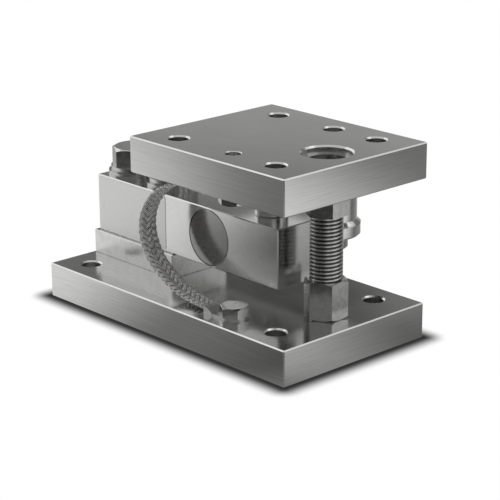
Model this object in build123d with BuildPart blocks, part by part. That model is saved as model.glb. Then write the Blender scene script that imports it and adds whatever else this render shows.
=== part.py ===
from build123d import *
import math
import os

os.makedirs("parts", exist_ok=True)

# A weigh module: a shear beam load cell held between a base plate and a shorter top plate.
# Lengths are in millimetres. The origin is the middle of the base plate's underside,
# +X runs along the beam from its clamped end to its loaded end, and +Z is up.

# Base plate and top plate
plate_width = 100.0
plate_edge = 0.6
base_thickness = 19.0
top_length = 113.3
top_thickness = 19.0
plate_hole_diameter = 10.6
hole_mouth = 0.8
screw_hole_mouth = 0.4
hole_margin = 15.0
fixed_hole_inset = 17.0
load_hole_inset = 21.3
top_hole_pitch = 71.2
stop_offset = 30.2

# Spacer block
spacer_length = 66.2
spacer_width = 39.0
spacer_height = 13.2
spacer_inset = 1.2
spacer_edge = 0.3

# Beam of the load cell
beam_length = 143.9
beam_width = 35.0
beam_height = 32.0
beam_inset = 3.0
beam_edge = 0.5
bolt_inset = 12.0
bolt_pitch = 31.8
bolt_count = 2
load_inset = 23.0
gauge_inset = 52.1
jack_offset = 16.8
relief_width = 4.8
relief_depth = 0.7

# Sealed gauge pockets in both sides of the beam
cover_diameter = 30.0
cover_thickness = 1.5
cover_gap = 0.35
cover_edge = 0.3
pocket_diameter = 25.0
web_thickness = 5.0
gauge_length = 9.0
gauge_width = 6.0
gauge_thickness = 0.3
board_diameter = 20.0
board_thickness = 1.2

# Signal cable inlet in the beam's clamped end, beside the bolts
inlet_offset = 12.5
inlet_diameter = 9.0
inlet_depth = 5.0
inlet_wall = 1.4
wire_bore_diameter = 4.0
seal_hole_diameter = 3.0

# Label on the beam's side
label_length = 56.5
label_margin = 0.9
label_thickness = 0.2
label_corner = 2.0

# Bolts that clamp the beam and the spacer block to the base plate
bolt_diameter = 16.0
bolt_flats = 24.0
bolt_head_height = 10.3
bolt_grip_in_base = 16.0
bolt_hole_clearance = 0.5
flat_washer_diameter = 30.0
flat_washer_thickness = 2.3
spring_washer_diameter = 27.4
spring_washer_thickness = 2.6
spring_washer_slit = 1.4
spring_washer_slant = 25.0
washer_clearance = 0.3

# Load foot, screwed into the beam, and the hardened pad above it
foot_diameter = 17.5
foot_height = 21.2
foot_edge = 0.5
foot_thread_diameter = 12.0
foot_thread_length = 30.0
pad_diameter = 26.0
pad_thickness = 4.0

# Jack under the loaded end: hexagonal standoff, threaded stud and nut
jack_flats = 20.0
standoff_height = 20.2
standoff_socket_depth = 12.0
standoff_spigot_diameter = 12.0
standoff_spigot_length = 11.0
stud_diameter = 17.0
thread_chamfer = 1.1
stud_recess = 9.0
stud_slot_width = 1.8
stud_slot_depth = 2.4
nut_height = 12.4

# Bushing that guides the stud through the top plate
bushing_diameter = 25.6
bushing_height = 9.0
bushing_drop = 4.0
bushing_rim_diameter = 20.6
bushing_rim_depth = 2.8
bushing_bore_clearance = 0.5
plate_bore_clearance = 1.0
bushing_mouth = 0.9

# Stop that hangs from the top plate behind the beam
sleeve_diameter = 25.8
sleeve_length = 30.5
sleeve_flare = 1.9
stop_nut_diameter = 29.6
stop_nut_height = 6.8
stop_nut_edge = 1.1
stop_clearance = 2.7
stop_stud_diameter = 16.4
stop_stud_tail = 7.6
stop_spigot_length = 12.0
stop_joint_edge = 0.3

# Ground strap between the plates, its two lugs and its two screws
strap_width = 13.0
strap_thickness = 2.2
screw_diameter = 8.0
screw_flats = 13.8
screw_head_height = 5.3
screw_length = 16.0
lug_thickness = 1.2
lug_width = 14.0
lug_reach = 9.1
barrel_length = 6.2
barrel_wall = 0.7
barrel_slope = 3.6
strap_grip = 2.4
fillet_share = 0.45

# Shared fits
thread_fit = 0.05
press_fit = 0.05
chamfer_angle = 30.0
hexagon_face_share = 0.96

# Overall sizes that follow from the ones above
base_length = beam_inset + beam_length + jack_offset + load_hole_inset
hole_span = plate_width - 2 * hole_margin

# Levels
base_top = base_thickness
beam_bottom = base_top + spacer_height
beam_top = beam_bottom + beam_height
plate_bottom = beam_top + foot_height
plate_top = plate_bottom + top_thickness
beam_middle = beam_bottom + beam_height / 2
beam_side = beam_width / 2

# Places along the length
fixed_end = -base_length / 2
load_end = base_length / 2
fixed_hole_x = fixed_end + fixed_hole_inset
load_hole_x = load_end - load_hole_inset
top_plate_x = load_end - top_length / 2
top_hole_x = load_hole_x - top_hole_pitch
side_y = hole_span / 2
stop_x = load_hole_x - stop_offset
stop_y = beam_side + stop_clearance + stop_nut_diameter / 2
spacer_x = fixed_end + spacer_inset + spacer_length / 2
spacer_end = fixed_end + spacer_inset + spacer_length
beam_start = fixed_end + beam_inset
beam_end = beam_start + beam_length
beam_x = beam_start + beam_length / 2
load_x = beam_end - load_inset
gauge_x = beam_end - gauge_inset
bolt_places = [(beam_start + bolt_inset + n * bolt_pitch, 0) for n in range(bolt_count)]

bolt_radius = bolt_diameter / 2
bolt_hole_radius = bolt_radius + bolt_hole_clearance
stud_radius = stud_diameter / 2
screw_radius = screw_diameter / 2
bushing_bottom = plate_top - bushing_drop - bushing_height


def turned(points):
    """Add the solid that a closed outline of (radius, height) points turns about the Z axis."""
    with BuildSketch(Plane.XZ) as outline:
        with BuildLine():
            Polyline(*points, close=True)
        make_face()
    revolve(outline.sketch, axis=Axis.Z)


def chamfered_hexagon(flats, bottom, height, chamfered_below=False):
    """Add an upright hexagon, two flats facing along X, with its corners turned off at 30 degrees."""
    corner = flats / math.sqrt(3)
    face = hexagon_face_share * flats / 2
    drop = (corner - face) * math.tan(math.radians(chamfer_angle))
    top = bottom + height
    foot = [(face, bottom), (corner, bottom + drop)] if chamfered_below else [(corner, bottom)]
    with BuildSketch(Plane.XY.offset(bottom)) as hexagon:
        RegularPolygon(radius=corner, side_count=6, rotation=30)
    extrude(hexagon.sketch, amount=height)
    with BuildSketch(Plane.XZ) as envelope:
        with BuildLine():
            Polyline((0, bottom), *foot, (corner, top - drop), (face, top), (0, top), close=True)
        make_face()
    revolve(envelope.sketch, axis=Axis.Z, mode=Mode.INTERSECT)


def rounded_corner_box(length, width, height, edge):
    """Add a block on the active plane with every edge broken by a small chamfer."""
    block = Box(length, width, height, align=(Align.CENTER, Align.CENTER, Align.MIN))
    chamfer(block.edges(), length=edge)


def side_plane(side, distance):
    """Return the plane over the gauge pocket at a distance from the beam's middle, facing out."""
    return Plane(origin=(gauge_x, side * distance, beam_middle), x_dir=(1, 0, 0), z_dir=(0, side, 0))


def plate_hole_rims(plate):
    """Return the round edges of a plate's fixing holes."""
    rims = plate.edges().filter_by(GeomType.CIRCLE)
    return rims.filter_by(lambda rim: abs(rim.radius - plate_hole_diameter / 2) < thread_fit)


with BuildPart() as base_plate:
    rounded_corner_box(base_length, plate_width, base_thickness, plate_edge)
    foundation_holes = [(x, y) for x in (fixed_hole_x, load_hole_x) for y in (-side_y, side_y)]
    with Locations(Plane.XY.offset(base_top)):
        with Locations(*foundation_holes):
            Hole(radius=plate_hole_diameter / 2)
        with Locations(*bolt_places):
            Hole(radius=bolt_radius + thread_fit)
        with Locations((stop_x, -side_y)):
            Hole(radius=screw_radius + thread_fit)
        with Locations((load_hole_x, 0)):
            Hole(radius=standoff_spigot_diameter / 2 + thread_fit, depth=standoff_spigot_length + hole_mouth)
    chamfer(plate_hole_rims(base_plate), length=hole_mouth)
base_plate.part.label = "base_plate"
export_step(base_plate.part, "parts/base_plate.step")


with BuildPart(Plane.XY.offset(plate_bottom)) as top_plate:
    with Locations((top_plate_x, 0)):
        rounded_corner_box(top_length, plate_width, top_thickness, plate_edge)
    vessel_holes = [(x, y) for x in (top_hole_x, load_hole_x) for y in (-side_y, side_y)]
    with Locations(Plane.XY.offset(top_thickness)):
        with Locations(*vessel_holes, (stop_x, stop_y)):
            Hole(radius=plate_hole_diameter / 2)
        with Locations((stop_x, -side_y)):
            Hole(radius=screw_radius + thread_fit)
        with Locations((load_hole_x, 0)):
            CounterBoreHole(
                radius=stud_radius + plate_bore_clearance,
                counter_bore_radius=bushing_diameter / 2,
                counter_bore_depth=bushing_drop + bushing_height,
            )
    with Locations((load_x, 0)):
        Cylinder(
            pad_diameter / 2,
            pad_thickness,
            align=(Align.CENTER, Align.CENTER, Align.MIN),
            mode=Mode.SUBTRACT,
        )
    chamfer(plate_hole_rims(top_plate), length=hole_mouth)
    upper_rims = top_plate.faces().sort_by(Axis.Z)[-1].edges().filter_by(GeomType.CIRCLE)
    chamfer(upper_rims.sort_by(SortBy.RADIUS)[0], length=screw_hole_mouth)
    chamfer(upper_rims.sort_by(SortBy.RADIUS)[-1], length=bushing_mouth)
top_plate.part.label = "top_plate"
export_step(top_plate.part, "parts/top_plate.step")


with BuildPart(Plane.XY.offset(base_top)) as spacer_block:
    with Locations((spacer_x, 0)):
        rounded_corner_box(spacer_length, spacer_width, spacer_height, spacer_edge)
    with Locations(*bolt_places):
        Hole(radius=bolt_hole_radius)
spacer_block.part.label = "spacer_block"
export_step(spacer_block.part, "parts/spacer_block.step")


with BuildPart() as load_cell_beam:
    with Locations((beam_x, 0, beam_bottom)):
        rounded_corner_box(beam_length, beam_width, beam_height, beam_edge)
    with Locations(Plane.XY.offset(beam_top)):
        with Locations(*bolt_places):
            Hole(radius=bolt_hole_radius)
        with Locations((load_x, 0)):
            Hole(radius=foot_thread_diameter / 2 + thread_fit)
    relief_radius = (relief_width**2 / 4 + relief_depth**2) / (2 * relief_depth)
    with Locations((spacer_end, 0, beam_bottom + relief_depth - relief_radius)):
        Cylinder(relief_radius, beam_width, rotation=(90, 0, 0), mode=Mode.SUBTRACT)
    for side in (-1, 1):
        cover_seat = side_plane(side, beam_side)
        with Locations(cover_seat):
            CounterBoreHole(
                radius=pocket_diameter / 2,
                counter_bore_radius=cover_diameter / 2 + cover_gap,
                counter_bore_depth=cover_thickness,
                depth=beam_side - web_thickness / 2,
            )
    inlet_face = Plane(origin=(beam_start, inlet_offset, beam_middle), x_dir=(0, 1, 0), z_dir=(-1, 0, 0))
    with Locations(inlet_face):
        CounterBoreHole(
            radius=wire_bore_diameter / 2,
            counter_bore_radius=inlet_diameter / 2,
            counter_bore_depth=inlet_depth,
            depth=gauge_x - beam_start,
        )
load_cell_beam.part.label = "load_cell_beam"
export_step(load_cell_beam.part, "parts/load_cell_beam.step")


for side, name in ((-1, "gauge_cover_front"), (1, "gauge_cover_rear")):
    with BuildPart(side_plane(side, beam_side - cover_thickness)) as gauge_cover:
        Cylinder(cover_diameter / 2, cover_thickness, align=(Align.CENTER, Align.CENTER, Align.MIN))
        outer_rim = gauge_cover.edges().sort_by(Axis.Y)[-1 if side > 0 else 0]
        chamfer(outer_rim, length=cover_edge)
    gauge_cover.part.label = name
    export_step(gauge_cover.part, f"parts/{name}.step")


with BuildPart() as strain_gauges:
    for side in (-1, 1):
        with Locations(side_plane(side, web_thickness / 2)):
            Box(gauge_length, gauge_width, gauge_thickness, align=(Align.CENTER, Align.CENTER, Align.MIN))
strain_gauges.part.label = "strain_gauges"
export_step(strain_gauges.part, "parts/strain_gauges.step")


board_level = beam_side - cover_thickness - board_thickness
with BuildPart(side_plane(1, board_level)) as terminal_board:
    Cylinder(board_diameter / 2, board_thickness, align=(Align.CENTER, Align.CENTER, Align.MIN))
terminal_board.part.label = "terminal_board"
export_step(terminal_board.part, "parts/terminal_board.step")


inlet_floor = Plane(
    origin=(beam_start + inlet_depth, inlet_offset, beam_middle),
    x_dir=(0, 1, 0),
    z_dir=(-1, 0, 0),
)
with BuildPart(inlet_floor) as cable_inlet:
    Cylinder(inlet_diameter / 2 - press_fit, inlet_depth, align=(Align.CENTER, Align.CENTER, Align.MIN))
    Hole(radius=inlet_diameter / 2 - inlet_wall)
cable_inlet.part.label = "cable_inlet"
export_step(cable_inlet.part, "parts/cable_inlet.step")


with BuildPart(inlet_floor) as cable_seal:
    seal_radius = inlet_diameter / 2 - inlet_wall - press_fit
    Cylinder(seal_radius, inlet_depth - inlet_wall, align=(Align.CENTER, Align.CENTER, Align.MIN))
    Hole(radius=seal_hole_diameter / 2)
cable_seal.part.label = "cable_seal"
export_step(cable_seal.part, "parts/cable_seal.step")


label_x = beam_start + label_margin + label_length / 2
label_plane = Plane(origin=(label_x, -beam_side, beam_middle), x_dir=(1, 0, 0), z_dir=(0, -1, 0))
with BuildPart() as cell_label:
    with BuildSketch(label_plane):
        RectangleRounded(label_length, beam_height - 2 * label_margin, label_corner)
    extrude(amount=label_thickness)
cell_label.part.label = "cell_label"
export_step(cell_label.part, "parts/cell_label.step")


flat_washer_top = beam_top + flat_washer_thickness
spring_washer_top = flat_washer_top + spring_washer_thickness
washer_bore = bolt_radius + washer_clearance

with BuildPart(Plane.XY.offset(beam_top)) as flat_washers:
    with Locations(*bolt_places):
        Cylinder(flat_washer_diameter / 2, flat_washer_thickness, align=(Align.CENTER, Align.CENTER, Align.MIN))
        Hole(radius=washer_bore)
flat_washers.part.label = "flat_washers"
export_step(flat_washers.part, "parts/flat_washers.step")


with BuildPart(Plane.XY.offset(flat_washer_top)) as spring_washers:
    slit_y = (spring_washer_diameter / 2 + washer_bore) / 2
    with Locations(*bolt_places):
        Cylinder(spring_washer_diameter / 2, spring_washer_thickness, align=(Align.CENTER, Align.CENTER, Align.MIN))
        Hole(radius=washer_bore)
        with Locations(Location((0, slit_y, spring_washer_thickness / 2), (0, spring_washer_slant, 0))):
            Box(spring_washer_slit, bolt_radius, 2 * spring_washer_thickness, mode=Mode.SUBTRACT)
spring_washers.part.label = "spring_washers"
export_step(spring_washers.part, "parts/spring_washers.step")


with BuildPart() as cell_bolt:
    chamfered_hexagon(bolt_flats, spring_washer_top, bolt_head_height)
    shank_end = base_top - bolt_grip_in_base
    with Locations((0, 0, shank_end)):
        Cylinder(bolt_radius, spring_washer_top - shank_end, align=(Align.CENTER, Align.CENTER, Align.MIN))
    chamfer(cell_bolt.faces().sort_by(Axis.Z)[0].edges(), length=thread_chamfer)

with BuildPart() as cell_bolts:
    with Locations(*bolt_places):
        add(cell_bolt.part)
cell_bolts.part.label = "cell_bolts"
export_step(cell_bolts.part, "parts/cell_bolts.step")


with BuildPart(Plane.XY.offset(beam_top)) as load_foot:
    with Locations((load_x, 0)):
        Cylinder(foot_diameter / 2, foot_height, align=(Align.CENTER, Align.CENTER, Align.MIN))
        chamfer(load_foot.edges().filter_by(GeomType.CIRCLE), length=foot_edge)
        Cylinder(foot_thread_diameter / 2, foot_thread_length, align=(Align.CENTER, Align.CENTER, Align.MAX))
    chamfer(load_foot.faces().sort_by(Axis.Z)[0].edges(), length=foot_edge)
load_foot.part.label = "load_foot"
export_step(load_foot.part, "parts/load_foot.step")


with BuildPart(Plane.XY.offset(plate_bottom)) as load_pad:
    with Locations((load_x, 0)):
        Cylinder(pad_diameter / 2 - press_fit, pad_thickness, align=(Align.CENTER, Align.CENTER, Align.MIN))
load_pad.part.label = "load_pad"
export_step(load_pad.part, "parts/load_pad.step")


standoff_top = base_top + standoff_height
socket_floor = standoff_top - standoff_socket_depth
with BuildPart() as standoff:
    chamfered_hexagon(jack_flats, base_top, standoff_height, chamfered_below=True)
    with Locations((0, 0, base_top)):
        Cylinder(
            standoff_spigot_diameter / 2,
            standoff_spigot_length,
            align=(Align.CENTER, Align.CENTER, Align.MAX),
        )
    with Locations((0, 0, standoff_top)):
        Hole(radius=stud_radius + thread_fit, depth=standoff_socket_depth)

with BuildPart() as jack_standoff:
    with Locations((load_hole_x, 0)):
        add(standoff.part)
jack_standoff.part.label = "jack_standoff"
export_step(jack_standoff.part, "parts/jack_standoff.step")


nut_bottom = plate_bottom - nut_height
with BuildPart() as nut:
    chamfered_hexagon(jack_flats, nut_bottom, nut_height)
    with Locations((0, 0, plate_bottom)):
        Hole(radius=stud_radius + thread_fit)

with BuildPart() as jack_nut:
    with Locations((load_hole_x, 0)):
        add(nut.part)
jack_nut.part.label = "jack_nut"
export_step(jack_nut.part, "parts/jack_nut.step")


stud_top = plate_top - stud_recess
with BuildPart() as stud:
    turned([
        (0, socket_floor),
        (stud_radius - thread_chamfer, socket_floor),
        (stud_radius, socket_floor + thread_chamfer),
        (stud_radius, stud_top - thread_chamfer),
        (stud_radius - thread_chamfer, stud_top),
        (0, stud_top),
    ])
    with Locations((0, 0, stud_top)):
        Box(
            stud_diameter,
            stud_slot_width,
            stud_slot_depth,
            align=(Align.CENTER, Align.CENTER, Align.MAX),
            mode=Mode.SUBTRACT,
        )

with BuildPart() as jack_stud:
    with Locations((load_hole_x, 0)):
        add(stud.part)
jack_stud.part.label = "jack_stud"
export_step(jack_stud.part, "parts/jack_stud.step")


with BuildPart(Plane.XY.offset(bushing_bottom)) as stud_bushing:
    with Locations((load_hole_x, 0)):
        Cylinder(bushing_diameter / 2 - press_fit, bushing_height, align=(Align.CENTER, Align.CENTER, Align.MIN))
    with Locations((load_hole_x, 0, bushing_height)):
        CounterBoreHole(
            radius=stud_radius + bushing_bore_clearance,
            counter_bore_radius=bushing_rim_diameter / 2,
            counter_bore_depth=bushing_rim_depth,
        )
stud_bushing.part.label = "stud_bushing"
export_step(stud_bushing.part, "parts/stud_bushing.step")


# The stop: a sleeve flared at its foot, a round nut under it and the stud that carries both.
sleeve_bottom = plate_bottom - sleeve_length
stop_nut_bottom = sleeve_bottom - stop_nut_height
stop_stud_end = stop_nut_bottom - stop_stud_tail
stop_stud_radius = stop_stud_diameter / 2
stop_nut_radius = stop_nut_diameter / 2
flared_radius = sleeve_diameter / 2 + sleeve_flare
stop_place = (stop_x, stop_y)

with BuildPart() as sleeve:
    turned([
        (stop_stud_radius + washer_clearance, plate_bottom),
        (sleeve_diameter / 2, plate_bottom),
        (sleeve_diameter / 2, sleeve_bottom + sleeve_flare + stop_joint_edge),
        (flared_radius, sleeve_bottom + stop_joint_edge),
        (flared_radius - stop_joint_edge, sleeve_bottom),
        (stop_stud_radius + washer_clearance, sleeve_bottom),
    ])

with BuildPart() as stop_sleeve:
    with Locations(stop_place):
        add(sleeve.part)
stop_sleeve.part.label = "stop_sleeve"
export_step(stop_sleeve.part, "parts/stop_sleeve.step")


with BuildPart() as round_nut:
    turned([
        (stop_stud_radius + thread_fit, sleeve_bottom),
        (stop_nut_radius - stop_joint_edge, sleeve_bottom),
        (stop_nut_radius, sleeve_bottom - stop_joint_edge),
        (stop_nut_radius, stop_nut_bottom + stop_nut_edge),
        (stop_nut_radius - stop_nut_edge, stop_nut_bottom),
        (stop_stud_radius + thread_fit, stop_nut_bottom),
    ])

with BuildPart() as stop_nut:
    with Locations(stop_place):
        add(round_nut.part)
stop_nut.part.label = "stop_nut"
export_step(stop_nut.part, "parts/stop_nut.step")


spigot_radius = plate_hole_diameter / 2 - thread_fit
spigot_top = plate_bottom + stop_spigot_length
with BuildPart() as hanging_stud:
    turned([
        (0, stop_stud_end),
        (stop_stud_radius - thread_chamfer, stop_stud_end),
        (stop_stud_radius, stop_stud_end + thread_chamfer),
        (stop_stud_radius, plate_bottom),
        (spigot_radius, plate_bottom),
        (spigot_radius, spigot_top - hole_mouth),
        (spigot_radius - hole_mouth, spigot_top),
        (0, spigot_top),
    ])

with BuildPart() as stop_stud:
    with Locations(stop_place):
        add(hanging_stud.part)
stop_stud.part.label = "stop_stud"
export_step(stop_stud.part, "parts/stop_stud.step")


# Each lug is drawn on its plate with the ring under the screw and the barrel towards the clamped end.
barrel_end = stop_x - lug_reach
barrel_start = barrel_end - barrel_length
barrel_height = strap_thickness + 2 * barrel_wall
barrel_width = strap_width + 2 * barrel_wall
strap_inset = barrel_wall + strap_thickness / 2
lug_levels = {"lower": (base_top, 1), "upper": (plate_bottom, -1)}

for place, (face, away) in lug_levels.items():
    with BuildPart() as lug:
        with BuildSketch(Plane.XY.offset(face)) as tongue:
            with Locations((stop_x, -side_y)):
                Circle(lug_width / 2)
            with Locations((stop_x - lug_reach / 2, -side_y)):
                Rectangle(lug_reach, lug_width)
            with Locations((stop_x, -side_y)):
                Circle(screw_radius + washer_clearance, mode=Mode.SUBTRACT)
        extrude(tongue.sketch, amount=away * lug_thickness)
        with BuildSketch(Plane.XZ.offset(side_y - barrel_width / 2)) as barrel:
            with BuildLine():
                Polyline(
                    (barrel_start, face),
                    (barrel_start, face + away * barrel_height),
                    (barrel_end - barrel_slope, face + away * barrel_height),
                    (barrel_end, face + away * lug_thickness),
                    (barrel_end, face),
                    close=True,
                )
            make_face()
        extrude(barrel.sketch, amount=barrel_width)
        with Locations((barrel_start, -side_y, face + away * strap_inset)):
            Box(2 * strap_grip, strap_width, strap_thickness, mode=Mode.SUBTRACT)
    lug.part.label = f"strap_lug_{place}"
    export_step(lug.part, f"parts/strap_lug_{place}.step")

    head_face = face + away * lug_thickness
    with BuildPart() as screw:
        chamfered_hexagon(screw_flats, 0, screw_head_height)
        Cylinder(screw_radius, screw_length, align=(Align.CENTER, Align.CENTER, Align.MAX))
        chamfer(screw.faces().sort_by(Axis.Z)[0].edges(), length=hole_mouth)
    seat = Plane(origin=(stop_x, -side_y, head_face), x_dir=(1, 0, 0), z_dir=(0, 0, away))
    with BuildPart() as ground_bolt:
        with Locations(seat):
            add(screw.part)
    ground_bolt.part.label = f"ground_bolt_{place}"
    export_step(ground_bolt.part, f"parts/ground_bolt_{place}.step")


# The strap leaves the upper lug, swings out past the top plate's end and comes back along the base plate.
strap_end_x = barrel_start + strap_grip
strap_points = [
    (strap_end_x, plate_bottom - strap_inset),
    (9.0, plate_bottom - strap_inset),
    (-9.5, 78.0),
    (-22.5, 66.5),
    (-27.5, 52.5),
    (-22.5, 38.0),
    (-9.5, 28.0),
    (8.5, base_top + strap_inset),
    (strap_end_x, base_top + strap_inset),
]


def corner_radii(points):
    """Return the largest even radius at each inner point, from the shorter of its two runs."""
    runs = [Vector(*b) - Vector(*a) for a, b in zip(points, points[1:])]
    radii = []
    for before, after in zip(runs, runs[1:]):
        half_turn = math.radians(before.get_angle(after)) / 2
        radii.append(fillet_share * min(before.length, after.length) / math.tan(half_turn))
    return radii


strap_radii = corner_radii(strap_points)
with BuildPart() as ground_strap:
    with BuildLine(Plane.XZ.offset(side_y)) as route:
        FilletPolyline(*strap_points, radius=strap_radii)
    path = route.wire()
    with BuildSketch(Plane(origin=path @ 0, x_dir=(0, 1, 0), z_dir=path % 0)):
        Rectangle(strap_width, strap_thickness)
    sweep(path=path)
ground_strap.part.label = "ground_strap"
export_step(ground_strap.part, "parts/ground_strap.step")
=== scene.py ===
import logging
import math
from dataclasses import dataclass
from enum import Enum

import bpy
from mathutils import Matrix, Vector


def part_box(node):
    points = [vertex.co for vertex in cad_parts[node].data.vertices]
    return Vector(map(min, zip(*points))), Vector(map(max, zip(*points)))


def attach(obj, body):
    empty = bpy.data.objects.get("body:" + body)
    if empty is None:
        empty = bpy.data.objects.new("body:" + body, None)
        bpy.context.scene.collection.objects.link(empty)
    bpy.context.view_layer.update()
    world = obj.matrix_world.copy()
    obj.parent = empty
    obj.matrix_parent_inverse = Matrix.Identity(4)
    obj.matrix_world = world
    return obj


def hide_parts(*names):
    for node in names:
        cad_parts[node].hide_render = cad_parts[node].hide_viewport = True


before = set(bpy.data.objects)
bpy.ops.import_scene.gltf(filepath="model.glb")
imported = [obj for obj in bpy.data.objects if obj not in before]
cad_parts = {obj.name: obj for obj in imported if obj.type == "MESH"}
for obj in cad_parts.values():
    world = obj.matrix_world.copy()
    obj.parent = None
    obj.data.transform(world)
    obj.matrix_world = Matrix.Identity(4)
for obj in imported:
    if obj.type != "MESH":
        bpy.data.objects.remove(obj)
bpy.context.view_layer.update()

log = logging.getLogger("weigh_module")

MM = 0.001
"""One millimetre in Blender's metres."""

ROOT = "root"
"""The one body of a module that is bolted together."""


class Grain(Enum):
    """How the grinding or turning marks run on a steel surface."""

    ALONG_PLATE = "along the plate's faces"
    TURNED = "round the part's upright axis"
    CLOUDED = "no direction, only a faint cloud"


def linear(hex_colour: str) -> tuple[float, float, float, float]:
    """Turn an sRGB hex colour into Blender's linear colour.

    Args:
        hex_colour: The colour as "#rrggbb".

    Returns:
        The linear red, green and blue, and an alpha of 1.
    """
    values = [int(hex_colour[i:i + 2], 16) / 255 for i in (1, 3, 5)]
    lit = [v / 12.92 if v <= 0.04045 else ((v + 0.055) / 1.055) ** 2.4 for v in values]
    return (lit[0], lit[1], lit[2], 1.0)


def add_node(
    tree: bpy.types.NodeTree,
    kind: str,
    links: dict | None = None,
    **settings: object,
) -> bpy.types.Node:
    """Add one node with its settings, socket values and links.

    Args:
        tree: The node tree that takes the node.
        kind: The node's type name.
        links: Socket values by input name or number; an output socket as value is linked.
        settings: Attributes of the node.

    Returns:
        The new node.
    """
    node = tree.nodes.new(kind)
    for name, value in settings.items():
        setattr(node, name, value)
    for name, value in (links or {}).items():
        socket = node.inputs[name]
        if isinstance(value, bpy.types.NodeSocket):
            tree.links.new(value, socket)
        else:
            socket.default_value = value
    return node


def empty_material(name: str) -> tuple[bpy.types.Material, bpy.types.NodeTree]:
    """Make a node material with no nodes.

    Args:
        name: The material's name.

    Returns:
        The material and its tree.
    """
    material = bpy.data.materials.new(name)
    material.use_nodes = True
    material.node_tree.nodes.clear()
    return material, material.node_tree


def new_material(name: str) -> tuple[bpy.types.Material, bpy.types.NodeTree, bpy.types.Node]:
    """Make a node material with a Principled surface.

    Args:
        name: The material's name.

    Returns:
        The material, its tree and its Principled node.
    """
    material, tree = empty_material(name)
    surface = add_node(tree, "ShaderNodeBsdfPrincipled")
    add_node(tree, "ShaderNodeOutputMaterial", {"Surface": surface.outputs["BSDF"]})
    return material, tree, surface


@dataclass(frozen=True)
class Stainless:
    """Stainless steel, the metal of every plate, block and fastener here.

    The grind decides how sharply it mirrors. Fine scratches lie in the grain's direction, and a faint
    cloudiness from handling keeps a large face from looking like plastic. Real scratches lie a tenth of
    a millimetre apart, too fine for the picture, so each finish draws them as coarse as they need to show.
    """

    name: str
    colour: str = "#d6d6d4"
    streak_colour: str = "#c8c8c6"
    roughness: float = 0.25
    roughness_spread: float = 0.08
    grain: Grain = Grain.ALONG_PLATE
    scratch_spacing_mm: float = 0.5
    scratch_length_mm: float = 30.0
    scratch_depth_mm: float = 0.004
    cloud_size_mm: float = 22.0
    streak_ramp: tuple[float, float] = (0.35, 0.65)
    wear_range: tuple[float, float] = (0.6, 1.4)

    def material(self) -> bpy.types.Material:
        """Build the material.

        Returns:
            The steel with its scratches and clouds.
        """
        material, tree, surface = new_material(self.name)
        surface.inputs["Metallic"].default_value = 1.0
        place = add_node(tree, "ShaderNodeTexCoord")
        clouds = add_node(
            tree,
            "ShaderNodeTexNoise",
            {"Vector": place.outputs["Object"], "Scale": 1 / (self.cloud_size_mm * MM), "Detail": 4.0},
        )
        scratches = self._scratches(tree, place.outputs["Object"])
        streaks = add_node(tree, "ShaderNodeValToRGB", {"Fac": scratches})
        for stop, at, colour in zip(
            streaks.color_ramp.elements, self.streak_ramp, (self.streak_colour, self.colour)
        ):
            stop.position = at
            stop.color = linear(colour)
        tree.links.new(streaks.outputs["Color"], surface.inputs["Base Color"])
        wear = add_node(
            tree,
            "ShaderNodeMath",
            {0: clouds.outputs["Fac"], 1: scratches},
            operation="ADD",
        )
        rough = add_node(
            tree,
            "ShaderNodeMapRange",
            {
                "Value": wear.outputs[0],
                "From Min": self.wear_range[0],
                "From Max": self.wear_range[1],
                "To Min": self.roughness - self.roughness_spread / 2,
                "To Max": self.roughness + self.roughness_spread / 2,
            },
        )
        tree.links.new(rough.outputs["Result"], surface.inputs["Roughness"])
        if self.grain is not Grain.CLOUDED:
            bump = add_node(
                tree,
                "ShaderNodeBump",
                {"Height": scratches, "Distance": self.scratch_depth_mm * MM, "Strength": 1.0},
            )
            tree.links.new(bump.outputs["Normal"], surface.inputs["Normal"])
        return material

    def _scratches(self, tree: bpy.types.NodeTree, place: bpy.types.NodeSocket) -> bpy.types.NodeSocket:
        """Lay noise stretched along the grain.

        Args:
            tree: The material's tree.
            place: The object coordinate.

        Returns:
            The scratches as a value about 0.5.
        """
        fine = 1 / (self.scratch_spacing_mm * MM)
        coarse = 1 / (self.scratch_length_mm * MM)
        if self.grain is Grain.TURNED:
            stretch = [(coarse, coarse, fine)]
        elif self.grain is Grain.CLOUDED:
            stretch = [(fine, fine, fine)]
        else:
            stretch = [(coarse, coarse, fine), (coarse, fine, coarse)]
        layers = []
        for scale in stretch:
            mapped = add_node(tree, "ShaderNodeMapping", {"Vector": place, "Scale": scale})
            noise = add_node(
                tree,
                "ShaderNodeTexNoise",
                {"Vector": mapped.outputs["Vector"], "Scale": 1.0, "Detail": 3.0},
            )
            layers.append(noise.outputs["Fac"])
        if len(layers) == 1:
            return layers[0]
        geometry = add_node(tree, "ShaderNodeNewGeometry")
        parts = add_node(tree, "ShaderNodeSeparateXYZ", {"Vector": geometry.outputs["Normal"]})
        upward = add_node(tree, "ShaderNodeMath", {0: parts.outputs["Z"]}, operation="ABSOLUTE")
        choice = add_node(
            tree,
            "ShaderNodeMix",
            {"Factor": upward.outputs[0], "A": layers[0], "B": layers[1]},
        )
        return choice.outputs["Result"]


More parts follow.
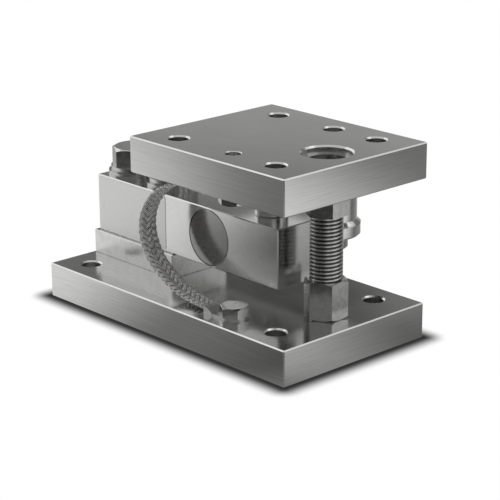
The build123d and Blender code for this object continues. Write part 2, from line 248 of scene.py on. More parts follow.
@dataclass(frozen=True)
class TinnedBraid:
    """Copper wires, tinned and braided.

    The fine wires lie along each strand and stretch its light across it, so strands that lean one way
    shine where the others are dark, and the hollows between are painted nearly black as shade. A real
    strand has eight wires or more, too fine for the picture, so three thicker ones are drawn.
    """

    name: str = "tinned_copper_braid"
    wire_colour: str = "#fbfaf7"
    # Painted shade in the hollows between the wires.
    hollow_shade_colour: str = "#24231f"
    tarnish_colour: str = "#dddcd9"
    metallic: float = 0.5
    roughness: float = 0.28
    anisotropy: float = 0.9
    wires_per_strand: int = 3
    wire_depth_mm: float = 0.09
    tarnish_mm: float = 1.8
    tarnish_ramp: tuple[float, float] = (0.40, 0.54)
    hollow_shade_ramp: tuple[float, float] = (0.08, 0.5)

    def material(self) -> bpy.types.Material:
        """Build the material.

        Returns:
            The tinned wires, which read the strand's own UV map: X across the strand, Y along it.
        """
        material, tree, surface = new_material(self.name)
        surface.inputs["Metallic"].default_value = self.metallic
        surface.inputs["Roughness"].default_value = self.roughness
        surface.inputs["Anisotropic"].default_value = self.anisotropy
        sideways = add_node(tree, "ShaderNodeTangent", direction_type="UV_MAP", uv_map="strand")
        tree.links.new(sideways.outputs["Tangent"], surface.inputs["Tangent"])
        strand = add_node(tree, "ShaderNodeUVMap", uv_map="strand")
        parts = add_node(tree, "ShaderNodeSeparateXYZ", {"Vector": strand.outputs["UV"]})
        turns = add_node(
            tree,
            "ShaderNodeMath",
            {0: parts.outputs["X"], 1: self.wires_per_strand * 2 * math.pi},
            operation="MULTIPLY",
        )
        wave = add_node(tree, "ShaderNodeMath", {0: turns.outputs[0]}, operation="COSINE")
        wires = add_node(
            tree,
            "ShaderNodeMapRange",
            {"Value": wave.outputs[0], "From Min": -1.0, "From Max": 1.0},
        )
        place = add_node(tree, "ShaderNodeTexCoord")
        patches = add_node(
            tree,
            "ShaderNodeTexNoise",
            {"Vector": place.outputs["Object"], "Scale": 1 / (self.tarnish_mm * MM), "Detail": 3.0},
        )
        wire = add_node(tree, "ShaderNodeValToRGB", {"Fac": patches.outputs["Fac"]})
        for stop, at, colour in zip(
            wire.color_ramp.elements, self.tarnish_ramp, (self.tarnish_colour, self.wire_colour)
        ):
            stop.position = at
            stop.color = linear(colour)
        # Painted shade: the hollow colour between the wires, the wire and tarnish colours on their tops.
        tops = add_node(
            tree,
            "ShaderNodeMapRange",
            {
                "Value": wires.outputs["Result"],
                "From Min": self.hollow_shade_ramp[0],
                "From Max": self.hollow_shade_ramp[1],
            },
        )
        colour = add_node(
            tree,
            "ShaderNodeMix",
            {6: linear(self.hollow_shade_colour), 7: wire.outputs["Color"], 0: tops.outputs["Result"]},
            data_type="RGBA",
        )
        tree.links.new(colour.outputs[2], surface.inputs["Base Color"])
        bump = add_node(
            tree,
            "ShaderNodeBump",
            {"Height": wires.outputs["Result"], "Distance": self.wire_depth_mm * MM, "Strength": 1.0},
        )
        tree.links.new(bump.outputs["Normal"], surface.inputs["Normal"])
        return material


@dataclass(frozen=True)
class Coating:
    """A plain non-metal: film, rubber or laminate, with a fine unevenness of its own."""

    name: str
    colour: str
    shade_colour: str
    roughness: float
    metallic: float = 0.0
    speck_mm: float = 0.6
    relief_mm: float = 0.005

    def material(self) -> bpy.types.Material:
        """Build the material.

        Returns:
            The coating, its colour varied a little and its surface just uneven.
        """
        material, tree, surface = new_material(self.name)
        surface.inputs["Metallic"].default_value = self.metallic
        surface.inputs["Roughness"].default_value = self.roughness
        place = add_node(tree, "ShaderNodeTexCoord")
        specks = add_node(
            tree,
            "ShaderNodeTexNoise",
            {"Vector": place.outputs["Object"], "Scale": 1 / (self.speck_mm * MM), "Detail": 2.0},
        )
        ramp = add_node(tree, "ShaderNodeValToRGB", {"Fac": specks.outputs["Fac"]})
        ramp.color_ramp.elements[0].color = linear(self.shade_colour)
        ramp.color_ramp.elements[1].color = linear(self.colour)
        tree.links.new(ramp.outputs["Color"], surface.inputs["Base Color"])
        bump = add_node(
            tree,
            "ShaderNodeBump",
            {"Height": specks.outputs["Fac"], "Distance": self.relief_mm * MM, "Strength": 1.0},
        )
        tree.links.new(bump.outputs["Normal"], surface.inputs["Normal"])
        return material


def dress(node: str, material: bpy.types.Material) -> None:
    """Give every face of a CAD node one material.

    Args:
        node: The node's name.
        material: The finish.
    """
    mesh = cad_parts[node].data
    mesh.materials.clear()
    mesh.materials.append(material)
    log.info("dressed %s in %s", node, material.name)


def dress_bores(
    node: str,
    material: bpy.types.Material,
    margin_mm: float = 3.0,
    steepest: float = 0.5,
) -> None:
    """Give the walls of a plate's holes a finish of their own.

    Args:
        node: The plate's name.
        material: The finish of the hole walls.
        margin_mm: How far inside the plate's sides a face must be to belong to a hole.
        steepest: How far a wall's normal may rise; the holes' bevelled rims rise more.
    """
    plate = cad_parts[node]
    low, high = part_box(node)
    margin = margin_mm * MM
    plate.data.materials.append(material)
    for face in plate.data.polygons:
        middle = plate.matrix_world @ face.center
        inside = all(low[i] + margin < middle[i] < high[i] - margin for i in (0, 1))
        if inside and abs(face.normal.z) < steepest:
            face.material_index = 1


def mesh_piece(
    name: str,
    points: list[Vector],
    faces: list[tuple[int, ...]],
    material: bpy.types.Material,
) -> bpy.types.Object:
    """Make a mesh object that rides on the module.

    Args:
        name: The object's name.
        points: Its vertices in metres.
        faces: Its faces as vertex numbers, shaded as one curved surface.
        material: Its finish.

    Returns:
        The new object.
    """
    mesh = bpy.data.meshes.new(name)
    mesh.from_pydata([tuple(p) for p in points], [], faces)
    mesh.materials.append(material)
    mesh.polygons.foreach_set("use_smooth", [True] * len(mesh.polygons))
    mesh.update()
    piece = bpy.data.objects.new(name, mesh)
    bpy.context.scene.collection.objects.link(piece)
    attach(piece, ROOT)
    log.info("made %s with %d faces", name, len(faces))
    return piece


@dataclass(frozen=True)
class Panel:
    """One panel of the studio, as the steel sees it, in degrees round and up; below nought it shades."""

    azimuth: float
    half_width: float
    low: float
    high: float
    soft: float
    level: float


@dataclass(frozen=True)
class Pool:
    """A soft pool of light on the floor, as the steel mirrors it, or of shade below nought."""

    x_mm: float
    y_mm: float
    reach_mm: float
    soft_mm: float
    level: float


@dataclass
class Studio:
    """The camera, the pale floor and the light that the polished steel mirrors.

    The steel sees panels of the room above the floor, and below them a sheet of light on the floor
    that only reflections show. The camera sees white, with a painted shadow where the base plate meets it.
    """

    camera_mm: tuple[float, float, float] = (671.07, -608.23, 333.70)
    camera_yaw: float = 47.162
    camera_pitch: float = 18.148
    camera_roll: float = -0.2715
    lens_mm: float = 129.5
    sensor_mm: float = 36.0
    seen_from_mm: float = 50.0
    seen_to_mm: float = 50000.0
    floor_width_mm: float = 9000.0
    floor_gap_mm: float = 0.15
    sheet_gap_mm: float = 0.6
    shadow_from_mm: float = 0.8
    shadow_to_mm: float = 13.0
    shadow_dark: float = 0.035
    room_level: float = 0.20
    least_level: float = 0.02
    ambient_level: float = 0.72
    sheet_level: float = 0.05
    panels: tuple[Panel, ...] = (
        Panel(155.0, 14.0, -10.0, 16.0, 2.0, 0.08),
        Panel(155.0, 14.0, 16.0, 34.0, 2.0, -0.05),
        Panel(123.0, 18.0, -10.0, 16.0, 2.0, 0.24),
        Panel(137.0, 4.0, 16.6, 34.0, 3.0, -0.22),
        Panel(137.0, 200.0, 46.0, 95.0, 16.0, 0.45),
        Panel(25.0, 28.0, -10.0, 32.0, 14.0, 0.38),
        Panel(55.0, 40.0, 34.0, 58.0, 8.0, 0.62),
        Panel(-170.0, 32.5, -10.0, 46.0, 4.0, 0.85),
        Panel(-30.0, 14.0, 34.0, 62.0, 10.0, 0.40),
    )
    pools: tuple[Pool, ...] = (
        Pool(-593.0, 202.0, 592.0, 110.0, 0.66),
        Pool(-593.0, 202.0, 700.0, 120.0, 0.15),
        Pool(420.0, -20.0, 255.0, 160.0, 0.72),
        Pool(300.0, 250.0, 260.0, 120.0, 0.15),
        Pool(120.0, -20.0, 40.0, 80.0, 0.30),
        Pool(-85.0, -150.0, 46.0, 44.0, -0.17),
        Pool(-334.0, 110.0, 110.0, 80.0, -0.45),
    )

    def build(self) -> None:
        """Make everything that isn't the object."""
        self._camera()
        self._world()
        self._floor()
        self._sheet()

    def _camera(self) -> None:
        """Stand the camera where the photograph was taken from."""
        data = bpy.data.cameras.new("studio_camera")
        data.lens = self.lens_mm
        data.sensor_width = self.sensor_mm
        data.clip_start = self.seen_from_mm * MM
        data.clip_end = self.seen_to_mm * MM
        camera = bpy.data.objects.new("studio_camera", data)
        turn = (
            Matrix.Rotation(math.radians(self.camera_yaw), 4, "Z")
            @ Matrix.Rotation(math.radians(90 - self.camera_pitch), 4, "X")
            @ Matrix.Rotation(math.radians(self.camera_roll), 4, "Z")
        )
        camera.matrix_world = Matrix.Translation(Vector(self.camera_mm) * MM) @ turn
        bpy.context.scene.collection.objects.link(camera)
        bpy.context.scene.camera = camera

    def _world(self) -> None:
        """Build the room: white behind the object, panels for the steel, an even level for the rest."""
        world = bpy.data.worlds.new("studio_room")
        bpy.context.scene.world = world
        world.use_nodes = True
        tree = world.node_tree
        tree.nodes.clear()
        place = add_node(tree, "ShaderNodeTexCoord")
        parts = add_node(tree, "ShaderNodeSeparateXYZ", {"Vector": place.outputs["Generated"]})
        azimuth = add_node(
            tree,
            "ShaderNodeMath",
            {0: parts.outputs["Y"], 1: parts.outputs["X"]},
            operation="ARCTAN2",
        )
        height = add_node(tree, "ShaderNodeMath", {0: parts.outputs["Z"]}, operation="ARCSINE")
        level = self.room_level
        for panel in self.panels:
            light = self._panel(tree, panel, azimuth.outputs[0], height.outputs[0])
            level = add_node(tree, "ShaderNodeMath", {0: light, 1: level}, operation="ADD").outputs[0]
        seen = add_node(tree, "ShaderNodeLightPath")
        least = add_node(tree, "ShaderNodeMath", {0: level, 1: self.least_level}, operation="MAXIMUM")
        mirrored = add_node(tree, "ShaderNodeBackground", {"Strength": least.outputs[0]})
        even = add_node(tree, "ShaderNodeBackground", {"Strength": self.ambient_level})
        white = add_node(tree, "ShaderNodeBackground", {"Strength": 1.0})
        for node in (mirrored, even, white):
            node.inputs["Color"].default_value = linear("#ffffff")
        lit = add_node(
            tree,
            "ShaderNodeMixShader",
            {0: seen.outputs["Is Glossy Ray"], 1: even.outputs[0], 2: mirrored.outputs[0]},
        )
        shown = add_node(
            tree,
            "ShaderNodeMixShader",
            {0: seen.outputs["Is Camera Ray"], 1: lit.outputs[0], 2: white.outputs[0]},
        )
        add_node(tree, "ShaderNodeOutputWorld", {"Surface": shown.outputs[0]})

    def _panel(
        self,
        tree: bpy.types.NodeTree,
        panel: Panel,
        azimuth: bpy.types.NodeSocket,
        height: bpy.types.NodeSocket,
    ) -> bpy.types.NodeSocket:
        """Give one panel's light in each direction.

        Args:
            tree: The world's tree.
            panel: The panel.
            azimuth: The direction's compass angle in radians.
            height: The direction's height angle in radians.

        Returns:
            The panel's level where it stands, fading to nothing over its soft edge.
        """
        soft = math.radians(panel.soft)
        turned = add_node(
            tree,
            "ShaderNodeMath",
            {0: azimuth, 1: math.radians(panel.azimuth)},
            operation="SUBTRACT",
        )
        wrapped = add_node(
            tree,
            "ShaderNodeMath",
            {0: turned.outputs[0], 1: math.pi, 2: -math.pi},
            operation="WRAP",
        )
        aside = add_node(tree, "ShaderNodeMath", {0: wrapped.outputs[0]}, operation="ABSOLUTE")
        half = math.radians(panel.half_width)
        limits = [
            (aside.outputs[0], half + soft / 2, half - soft / 2),
            (height, math.radians(panel.low) - soft / 2, math.radians(panel.low) + soft / 2),
            (height, math.radians(panel.high) + soft / 2, math.radians(panel.high) - soft / 2),
        ]
        level = panel.level
        for value, outside, inside in limits:
            edge = add_node(
                tree,
                "ShaderNodeMapRange",
                {"Value": value, "From Min": outside, "From Max": inside},
                interpolation_type="SMOOTHSTEP",
            )
            share = edge.outputs["Result"]
            level = add_node(tree, "ShaderNodeMath", {0: share, 1: level}, operation="MULTIPLY").outputs[0]
        return level

    def _plane(self, name: str, drop_mm: float, material: bpy.types.Material) -> bpy.types.Object:
        """Lay a wide level sheet under the module.

        Args:
            name: The object's name.
            drop_mm: How far it lies under the base plate.
            material: Its surface.

        Returns:
            The sheet.
        """
        half = self.floor_width_mm * MM / 2
        level = -drop_mm * MM
        mesh = bpy.data.meshes.new(name)
        mesh.from_pydata(
            [(-half, -half, level), (half, -half, level), (half, half, level), (-half, half, level)],
            [],
            [(0, 1, 2, 3)],
        )
        mesh.materials.append(material)
        plane = bpy.data.objects.new(name, mesh)
        bpy.context.scene.collection.objects.link(plane)
        return plane

    def _floor(self) -> None:
        """Lay the floor: white paper, with a painted shadow only where the base plate keeps the light off
        it.
        """
        material, tree = empty_material("white_paper_painted_shadow")
        low, high = (Vector(corner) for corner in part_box("base_plate"))
        half = (high - low) / 2
        place = add_node(tree, "ShaderNodeNewGeometry").outputs["Position"]
        aside = add_node(
            tree,
            "ShaderNodeVectorMath",
            {0: place, 1: tuple((low + high) / 2)},
            operation="SUBTRACT",
        )
        folded = add_node(
            tree,
            "ShaderNodeVectorMath",
            {0: aside.outputs["Vector"]},
            operation="ABSOLUTE",
        )
        beyond = add_node(
            tree,
            "ShaderNodeVectorMath",
            {0: folded.outputs["Vector"], 1: (half.x, half.y, 1.0)},
            operation="SUBTRACT",
        )
        outside = add_node(
            tree,
            "ShaderNodeVectorMath",
            {0: beyond.outputs["Vector"], 1: (0.0, 0.0, 0.0)},
            operation="MAXIMUM",
        )
        away = add_node(
            tree,
            "ShaderNodeVectorMath",
            {0: outside.outputs["Vector"]},
            operation="LENGTH",
        )
        # Painted shadow: dark at the base plate's edge, white beyond the shadow's reach.
        lit = add_node(
            tree,
            "ShaderNodeMapRange",
            {
                "Value": away.outputs["Value"],
                "From Min": self.shadow_from_mm * MM,
                "From Max": self.shadow_to_mm * MM,
                "To Min": self.shadow_dark,
            },
            interpolation_type="SMOOTHSTEP",
        )
        glow = add_node(tree, "ShaderNodeEmission", {"Strength": lit.outputs["Result"]})
        add_node(tree, "ShaderNodeOutputMaterial", {"Surface": glow.outputs["Emission"]})
        floor = self._plane("studio_floor", self.floor_gap_mm, material)
        floor.visible_glossy = False

    def _sheet(self) -> None:
        """Lay the sheet of graded light that only reflections show."""
        material, tree = empty_material("graded_light")
        place = add_node(tree, "ShaderNodeNewGeometry").outputs["Position"]
        level = self.sheet_level
        for pool in self.pools:
            away = add_node(
                tree,
                "ShaderNodeVectorMath",
                {0: place, 1: (pool.x_mm * MM, pool.y_mm * MM, 0.0)},
                operation="DISTANCE",
            )
            shown = add_node(
                tree,
                "ShaderNodeMapRange",
                {
                    "Value": away.outputs["Value"],
                    "From Min": (pool.reach_mm + pool.soft_mm / 2) * MM,
                    "From Max": (pool.reach_mm - pool.soft_mm / 2) * MM,
                    "To Max": pool.level,
                },
                interpolation_type="SMOOTHSTEP",
            )
            light = shown.outputs["Result"]
            level = add_node(tree, "ShaderNodeMath", {0: light, 1: level}, operation="ADD").outputs[0]
        least = add_node(tree, "ShaderNodeMath", {0: level, 1: self.sheet_level}, operation="MAXIMUM")
        glow = add_node(tree, "ShaderNodeEmission", {"Strength": least.outputs[0]})
        add_node(tree, "ShaderNodeOutputMaterial", {"Surface": glow.outputs["Emission"]})
        sheet = self._plane("graded_sheet", self.sheet_gap_mm, material)
        sheet.visible_camera = False
        sheet.visible_diffuse = False
        sheet.visible_shadow = False


@dataclass
class Plates:
    """The base plate, the top plate and the spacer block between the beam and the base."""

    # Stainless plate ground on a belt: a soft mirror, with short pale streaks along each face.
    side_finish: Stainless = Stainless(
        name="ground_stainless_plate",
        colour="#e0e0de",
        streak_colour="#d5d5d3",
        roughness=0.17,
        roughness_spread=0.04,
        scratch_spacing_mm=0.4,
        scratch_length_mm=22.0,
        scratch_depth_mm=0.0005,
    )
    # Stainless block ground fine: satin, with only a blurred image of what stands near it.
    block_finish: Stainless = Stainless(
        name="fine_ground_stainless_block",
        colour="#dededc",
        streak_colour="#d2d2d0",
        roughness=0.26,
        roughness_spread=0.06,
        grain=Grain.CLOUDED,
        scratch_spacing_mm=6.0,
    )
    # Drilled stainless, left as the drill left it: faint rings round the wall, duller than the faces.
    bore_finish: Stainless = Stainless(
        name="drilled_stainless_bore",
        colour="#dcdcda",
        roughness=0.26,
        roughness_spread=0.1,
        grain=Grain.TURNED,
        scratch_spacing_mm=0.4,
        scratch_depth_mm=0.004,
    )

    def build(self) -> None:
        """Dress the three steel blocks, the walls of their holes duller than their faces."""
        plate = self.side_finish.material()
        bore = self.bore_finish.material()
        for node in ("base_plate", "top_plate"):
            dress(node, plate)
            dress_bores(node, bore)
        dress("spacer_block", self.block_finish.material())


@dataclass
class LoadCell:
    """The beam with its covers, its label, its cable inlet and what is sealed inside."""

    # Stainless bar, ground and polished: it mirrors the plates and the stud, a little softened.
    beam_finish: Stainless = Stainless(
        name="polished_stainless_beam",
        colour="#dededc",
        streak_colour="#dadad8",
        roughness=0.165,
        roughness_spread=0.03,
        grain=Grain.CLOUDED,
        scratch_spacing_mm=2.0,
    )
    # Stainless disc, lapped: the darkest and clearest mirror on the module.
    cover_finish: Stainless = Stainless(
        name="mirror_stainless_cover",
        colour="#9e9e9c",
        streak_colour="#9a9a98",
        roughness=0.13,
        roughness_spread=0.03,
        grain=Grain.CLOUDED,
        scratch_spacing_mm=3.0,
    )
    # Polyester film, silvered and matt: paler and flatter than the steel round it.
    label_finish: Coating = Coating(
        name="silver_polyester_film",
        colour="#e2e2e0",
        shade_colour="#d4d4d2",
        roughness=0.42,
        metallic=0.35,
        speck_mm=1.5,
        relief_mm=0.0008,
    )
    # Nitrile rubber, moulded: nearly black and dull.
    seal_finish: Coating = Coating(
        name="moulded_nitrile_rubber",
        colour="#232323",
        shade_colour="#151515",
        roughness=0.65,
        relief_mm=0.02,
    )
    # Polyimide film, cast: amber and smooth.
    gauge_finish: Coating = Coating(
        name="polyimide_film",
        colour="#c08a3c",
        shade_colour="#a8742c",
        roughness=0.35,
    )
    # Glass epoxy laminate under green solder resist: an even, half-bright coat.
    board_finish: Coating = Coating(
        name="glass_epoxy_board",
        colour="#2f6b3a",
        shade_colour="#25582f",
        roughness=0.45,
    )

    def build(self) -> None:
        """Dress the beam and everything on it."""
        cover = self.cover_finish.material()
        dress("load_cell_beam", self.beam_finish.material())
        dress("gauge_cover_front", cover)
        dress("gauge_cover_rear", cover)
        dress("cell_label", self.label_finish.material())
        dress("cable_inlet", cover)
        dress("cable_seal", self.seal_finish.material())
        dress("strain_gauges", self.gauge_finish.material())
        dress("terminal_board", self.board_finish.material())


@dataclass
class Fasteners:
    """Bolts, washers, nuts, foot, jack and stop: turned or forged, then polished bright."""

    # Stainless, turned and polished: sharp bands of light down the sides, faint rings round them.
    turned_finish: Stainless = Stainless(
        name="bright_turned_stainless",
        colour="#dadad8",
        roughness=0.12,
        roughness_spread=0.06,
        grain=Grain.TURNED,
        scratch_spacing_mm=0.4,
        scratch_depth_mm=0.002,
    )
    # Stainless, bored with a coarse feed: pale rings that catch the light from above.
    bored_finish: Stainless = Stainless(
        name="bored_stainless_bushing",
        colour="#f0f0ee",
        roughness=0.2,
        roughness_spread=0.06,
        grain=Grain.TURNED,
        scratch_spacing_mm=1.0,
        scratch_depth_mm=0.03,
    )
    # Stainless, forged and tumbled bright: flats that mirror clearly, with a slight waviness.
    forged_finish: Stainless = Stainless(
        name="bright_forged_stainless",
        colour="#dadad8",
        roughness=0.15,
        roughness_spread=0.08,
        grain=Grain.CLOUDED,
        scratch_spacing_mm=2.5,
    )
    # Stainless sheet, stamped and tumbled: greyer and duller than the bolts on it.
    washer_finish: Stainless = Stainless(
        name="stamped_stainless_washer",
        colour="#bcbcba",
        roughness=0.2,
        roughness_spread=0.08,
        grain=Grain.TURNED,
        scratch_spacing_mm=0.5,
    )
    # Stainless, rolled and left dark: a dim, broken light.
    thread_finish: Stainless = Stainless(
        name="dark_rolled_stainless",
        colour="#b6b6b4",
        roughness=0.22,
        roughness_spread=0.1,
        grain=Grain.CLOUDED,
        scratch_spacing_mm=1.0,
    )

    def build(self) -> None:
        """Dress the fasteners by how each was made."""
        groups = {
            self.turned_finish: ("load_foot", "load_pad", "stop_sleeve", "stop_nut"),
            self.bored_finish: ("stud_bushing",),
            self.forged_finish: (
                "cell_bolts",
                "jack_standoff",
                "jack_nut",
                "ground_bolt_lower",
                "ground_bolt_upper",
            ),
            self.washer_finish: ("flat_washers", "spring_washers"),
            self.thread_finish: ("stop_stud",),
        }
        for finish, nodes in groups.items():
            material = finish.material()
            for node in nodes:
                dress(node, material)


@dataclass
class JackStud:
    """The jack's stud with its rolled thread and the screwdriver slot in its top."""

    pitch_mm: float = 2.0
    depth_mm: float = 0.9
    crest_share: float = 0.3
    root_share: float = 0.2
    rows_per_turn: int = 14
    sides: int = 64
    slot_width_mm: float = 1.8
    slot_depth_mm: float = 2.4
    # Painted shade: the colour in the thread's roots, below most of the cut's depth.
    root_shade_colour: str = "#626260"
    dark_below_share: float = 0.8
    lit_above_share: float = 0.3
    slot_overrun: float = 1.2
    # Stainless with a rolled thread: burnished crests that shine, and flanks that mirror each other.
    finish: Stainless = Stainless(
        name="rolled_stainless_thread",
        colour="#d6d6d4",
        roughness=0.2,
        roughness_spread=0.06,
        grain=Grain.CLOUDED,
        scratch_spacing_mm=1.0,
    )

    def build(self) -> None:
        """Make the threaded stud in the place of the plain one."""
        low, high = (Vector(corner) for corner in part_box("jack_stud"))
        radius = (high.x - low.x) / 2
        middle = (low + high) / 2
        rows = round((high.z - low.z) / (self.pitch_mm * MM) * self.rows_per_turn)
        points: list[Vector] = []
        faces: list[tuple[int, ...]] = []
        for row in range(rows + 1):
            level = low.z + (high.z - low.z) * row / rows
            inset = min(level - low.z, high.z - level)
            for side in range(self.sides):
                turn = side / self.sides
                reach = min(
                    radius - self._cut((level - low.z) / (self.pitch_mm * MM) - turn),
                    radius - self.depth_mm * MM + inset,
                )
                angle = 2 * math.pi * turn
                x = middle.x + reach * math.cos(angle)
                y = middle.y + reach * math.sin(angle)
                points.append(Vector((x, y, level)))
        for row in range(rows):
            for side in range(self.sides):
                following = (side + 1) % self.sides
                below = row * self.sides
                above = below + self.sides
                faces.append((below + side, below + following, above + following, above + side))
        faces.append(tuple(range(self.sides))[::-1])
        faces.append(tuple(range(rows * self.sides, (rows + 1) * self.sides)))
        finish = self._paint_root_shade(self.finish.material(), middle, radius)
        stud = mesh_piece("threaded_jack_stud", points, faces, finish)
        stud.data.polygons[len(faces) - 1].use_smooth = False
        self._slot(stud, Vector((middle.x, middle.y, high.z)), radius)
        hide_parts("jack_stud")

    def _paint_root_shade(
        self,
        material: bpy.types.Material,
        middle: Vector,
        radius: float,
    ) -> bpy.types.Material:
        """Paint shade into the thread's roots, fading out towards the crests.

        Args:
            material: The stud's steel.
            middle: The middle of the stud.
            radius: Its radius over the crests.

        Returns:
            The same material, with painted shade in the roots.
        """
        tree = material.node_tree
        surface = next(node for node in tree.nodes if node.type == "BSDF_PRINCIPLED")
        steel = surface.inputs["Base Color"].links[0].from_socket
        place = add_node(tree, "ShaderNodeNewGeometry").outputs["Position"]
        flat = add_node(
            tree,
            "ShaderNodeVectorMath",
            {0: place, 1: (1.0, 1.0, 0.0)},
            operation="MULTIPLY",
        )
        away = add_node(
            tree,
            "ShaderNodeVectorMath",
            {0: flat.outputs["Vector"], 1: (middle.x, middle.y, 0.0)},
            operation="DISTANCE",
        )
        # Painted shade: the root colour deep in the cut, the steel towards the crests.
        unshaded = add_node(
            tree,
            "ShaderNodeMapRange",
            {
                "Value": away.outputs["Value"],
                "From Min": radius - self.depth_mm * MM * self.dark_below_share,
                "From Max": radius - self.depth_mm * MM * self.lit_above_share,
            },
        )
        colour = add_node(
            tree,
            "ShaderNodeMix",
            {6: linear(self.root_shade_colour), 7: steel, 0: unshaded.outputs["Result"]},
            data_type="RGBA",
        )
        tree.links.new(colour.outputs[2], surface.inputs["Base Color"])
        return material

    def _cut(self, turns: float) -> float:
        """Give how deep the thread is cut at a place on its flank.

        Args:
            turns: The number of turns up the thread.

        Returns:
            The depth in metres, from nothing at the crest to the whole thread at the root.
        """
        away = abs(turns % 1.0 - 0.5) * 2
        flank = (away - self.crest_share) / (1 - self.crest_share - self.root_share)
        return self.depth_mm * MM * min(max(flank, 0.0), 1.0)

    def _slot(self, stud: bpy.types.Object, top: Vector, radius: float) -> None:
        """Cut the screwdriver slot across the stud's top.

        Args:
            stud: The threaded stud.
            top: The middle of its top face.
            radius: Its radius.
        """
        half = (radius * self.slot_overrun, self.slot_width_mm * MM / 2, self.slot_depth_mm * MM)
        corners = [
            top + Vector((x * half[0], y * half[1], z * half[2]))
            for x in (-1, 1)
            for y in (-1, 1)
            for z in (-1, 1)
        ]
        sides = [(0, 1, 3, 2), (4, 6, 7, 5), (0, 4, 5, 1), (2, 3, 7, 6), (0, 2, 6, 4), (1, 5, 7, 3)]
        mesh = bpy.data.meshes.new("slot_cutter")
        mesh.from_pydata([tuple(corner) for corner in corners], [], sides)
        mesh.materials.append(stud.data.materials[0])
        cutter = bpy.data.objects.new("slot_cutter", mesh)
        bpy.context.scene.collection.objects.link(cutter)
        cut = stud.modifiers.new("slot", "BOOLEAN")
        cut.operation = "DIFFERENCE"
        cut.object = cutter
        bpy.context.view_layer.update()
        graph = bpy.context.evaluated_depsgraph_get()
        shaped = bpy.data.meshes.new_from_object(stud.evaluated_get(graph))
        stud.modifiers.remove(cut)
        stud.data = shaped
        bpy.data.objects.remove(cutter)


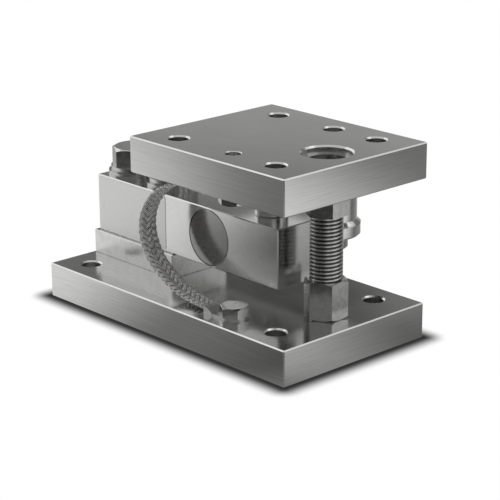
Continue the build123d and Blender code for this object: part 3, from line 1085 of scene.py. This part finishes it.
@dataclass
class GroundStrap:
    """The flat braided strap between the plates and the two pressed lugs on its ends."""

    width_mm: float = 13.0
    thickness_mm: float = 2.2
    edge_y_mm: float = -35.0
    strands_each_way: int = 6
    strand_thickness_mm: float = 0.5
    weave_height_mm: float = 0.36
    fill: float = 0.9
    step_mm: float = 0.55
    strand_sides: int = 8
    edge_turn_mm: float = 1.2
    route_mm: tuple[tuple[float, float], ...] = (
        (28.1, 83.6),
        (9.0, 83.6),
        (-9.5, 78.0),
        (-22.5, 66.5),
        (-27.5, 52.5),
        (-22.5, 38.0),
        (-9.5, 28.0),
        (8.5, 20.8),
        (28.1, 20.8),
    )
    braid_finish: TinnedBraid = TinnedBraid()
    # Copper tube, tinned and pressed flat: pale and satin, with soft dents.
    lug_finish: Stainless = Stainless(
        name="pressed_tinned_lug",
        colour="#d2d2cf",
        roughness=0.38,
        roughness_spread=0.1,
        grain=Grain.CLOUDED,
        scratch_spacing_mm=1.5,
    )

    def build(self) -> None:
        lug = self.lug_finish.material()
        dress("strap_lug_lower", lug)
        dress("strap_lug_upper", lug)
        line = self._centreline()
        braid = self._braid(line)
        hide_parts("ground_strap")

    def _centreline(self) -> list[Vector]:
        """Read evenly spaced points from the smooth spline through the route.

        Returns:
            Points in metres, from the upper lug to the lower one.
        """
        curve = bpy.data.curves.new("strap_route", "CURVE")
        curve.dimensions = "3D"
        curve.resolution_u = 24
        spline = curve.splines.new("NURBS")
        spline.points.add(len(self.route_mm) - 1)
        for point, (x, z) in zip(spline.points, self.route_mm):
            point.co = (x * MM, self.edge_y_mm * MM, z * MM, 1.0)
        spline.order_u = 3
        spline.use_endpoint_u = True
        holder = bpy.data.objects.new("strap_route", curve)
        bpy.context.scene.collection.objects.link(holder)
        bpy.context.view_layer.update()
        mesh = bpy.data.meshes.new_from_object(holder)
        dense = [vertex.co.copy() for vertex in mesh.vertices]
        bpy.data.objects.remove(holder)
        bpy.data.curves.remove(curve)
        bpy.data.meshes.remove(mesh)
        return self._evenly(dense)

    def _evenly(self, dense: list[Vector]) -> list[Vector]:
        """Space points evenly along a polyline.

        Args:
            dense: Points close together.

        Returns:
            Points about one step apart, both ends kept.
        """
        reach = [0.0]
        for a, b in zip(dense, dense[1:]):
            reach.append(reach[-1] + (b - a).length)
        count = max(2, round(reach[-1] / (self.step_mm * MM)))
        points = []
        at = 0
        for number in range(count + 1):
            goal = reach[-1] * number / count
            while at < len(dense) - 2 and reach[at + 1] < goal:
                at += 1
            share = (goal - reach[at]) / max(reach[at + 1] - reach[at], 1e-12)
            points.append(dense[at].lerp(dense[at + 1], min(max(share, 0.0), 1.0)))
        return points

    def _braid(self, line: list[Vector]) -> bpy.types.Object:
        """Weave the flattened tube of strands round the centreline.

        Args:
            line: The centreline, evenly spaced.

        Returns:
            The braid as one mesh.
        """
        points: list[Vector] = []
        faces: list[tuple[int, ...]] = []
        across: list[tuple[float, float]] = []
        for hand in (-1, 1):
            for number in range(self.strands_each_way):
                self._strand(line, hand, number, points, faces, across)
        piece = mesh_piece("ground_strap_braid", points, faces, self.braid_finish.material())
        layer = piece.data.uv_layers.new(name="strand")
        for loop in piece.data.loops:
            layer.data[loop.index].uv = across[loop.vertex_index]
        return piece

    def _strand(
        self,
        line: list[Vector],
        hand: int,
        number: int,
        points: list[Vector],
        faces: list[tuple[int, ...]],
        across: list[tuple[float, float]],
    ) -> None:
        """Add one strand, which spirals round the flattened tube, over two strands and under two.

        Args:
            line: The centreline, evenly spaced.
            hand: 1 for one way round, -1 for the other.
            number: Which strand of that hand.
            points: The braid's vertices so far, added to.
            faces: The braid's faces so far, added to.
            across: The UV place of each vertex so far, added to.
        """
        flat = 2 * (self.width_mm - self.thickness_mm)
        spacing = flat / self.strands_each_way
        half_width = spacing / math.sqrt(2) * self.fill / 2
        half_thick = self.strand_thickness_mm / 2
        layer_height = self.thickness_mm / 2 - self.weave_height_mm - half_thick
        start = len(points)
        for row, middle in enumerate(line):
            ahead = line[min(row + 1, len(line) - 1)]
            behind = line[max(row - 1, 0)]
            tangent = (ahead - behind).normalized()
            sideways = Vector((0.0, 1.0, 0.0))
            outward = sideways.cross(tangent)
            travelled = row * self.step_mm
            place = (number * spacing + hand * travelled) % flat
            u, face = self._fold(place, flat)
            crossing = 2 * travelled / spacing
            phase = math.pi / 2 * (crossing - hand / 2) + math.pi * number
            weave = self.weave_height_mm * hand * math.cos(phase)
            lean = (tangent + sideways * (hand * face)).normalized()
            side = outward.cross(lean)
            height = face * (layer_height + weave)
            turn = self._edge_turn(place, flat)
            centre = middle + sideways * (u * MM) + outward * (height * turn * MM)
            for corner in range(self.strand_sides):
                angle = 2 * math.pi * corner / self.strand_sides
                points.append(
                    centre
                    + side * (math.cos(angle) * half_width * MM)
                    + outward * (math.sin(angle) * half_thick * MM)
                )
                across.append((0.5 + 0.5 * math.cos(angle), travelled))
            if row:
                below = start + (row - 1) * self.strand_sides
                above = start + row * self.strand_sides
                for corner in range(self.strand_sides):
                    following = (corner + 1) % self.strand_sides
                    faces.append((below + corner, below + following, above + following, above + corner))
        last = start + (len(line) - 1) * self.strand_sides
        faces.append(tuple(range(start, start + self.strand_sides))[::-1])
        faces.append(tuple(range(last, last + self.strand_sides)))

    def _fold(self, place: float, flat: float) -> tuple[float, float]:
        """Fold a place round the tube onto the flat strap.

        Args:
            place: The way round the flattened tube in millimetres.
            flat: The whole way round.

        Returns:
            The place across the strap in millimetres and the side it is on, from -1 to 1.
        """
        half = flat / 2
        if place < half:
            return place - half / 2, 1.0
        return half / 2 - (place - half), -1.0

    def _edge_turn(self, place: float, flat: float) -> float:
        """Bring a strand down to the middle where it rounds the strap's edge.

        Args:
            place: The way round the flattened tube in millimetres.
            flat: The whole way round.

        Returns:
            The share of its height that the strand keeps, 0 at an edge.
        """
        half = flat / 2
        to_edge = min(place % half, half - place % half)
        return math.sin(min(1.0, to_edge / self.edge_turn_mm) * math.pi / 2)


def main() -> None:
    """Build the studio first, then the strap, then dress the steel."""
    logging.basicConfig(level=logging.INFO, format="%(name)s: %(message)s")
    bpy.context.scene.view_settings.view_transform = "Standard"
    Studio().build()
    GroundStrap().build()
    JackStud().build()
    Plates().build()
    LoadCell().build()
    Fasteners().build()


if __name__ == "__main__":
    main()
